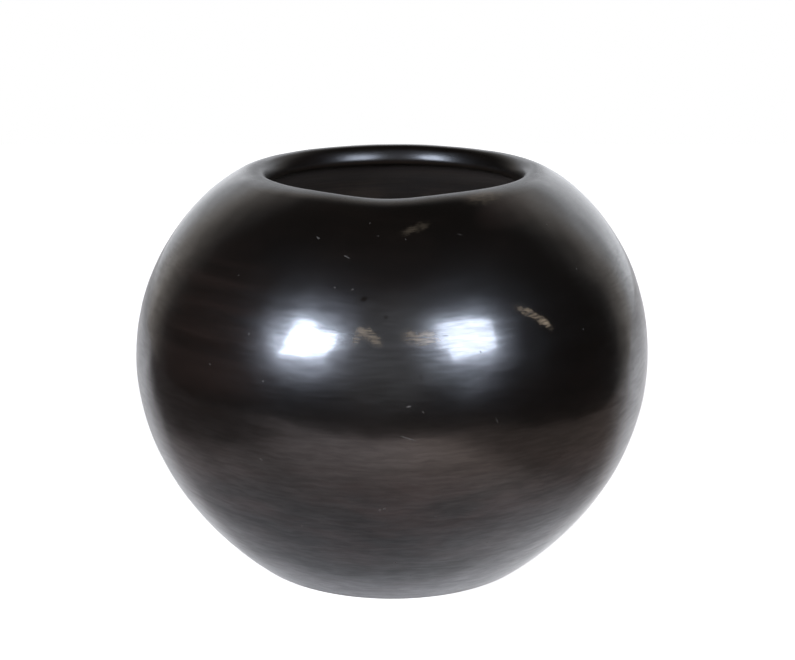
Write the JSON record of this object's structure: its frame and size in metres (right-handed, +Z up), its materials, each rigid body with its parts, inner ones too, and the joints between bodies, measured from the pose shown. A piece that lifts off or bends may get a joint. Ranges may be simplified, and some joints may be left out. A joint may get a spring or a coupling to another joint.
{
  "type": "blackware bowl",
  "caption": "Globular burnished blackware bowl with an incurved shoulder, a rounded open mouth and a flat base, used to hold dry goods or stand as a display vessel.",
  "frame": {"origin": "centre of the flat underside, on the table", "axes": "+Z up, along the bowl's turning axis and out of its mouth; +X and +Y are any two square directions"},
  "size_m": [0.1598, 0.1598, 0.1223],
  "materials": {
    "fired_clay": "matte, smoke-blackened clay, scraped by hand",
    "burnished_slip": "black, stone-burnished to a soft gloss"
  },
  "bodies": {
    "root": {"base_pad": "fired_clay", "wall_coil_1": "fired_clay", "wall_coil_2": "fired_clay", "wall_coil_3": "fired_clay", "wall_coil_4": "fired_clay", "wall_coil_5": "fired_clay", "wall_coil_6": "fired_clay", "rim_coil": "fired_clay", "slip_coat": "burnished_slip"}
  },
  "joints": []
}
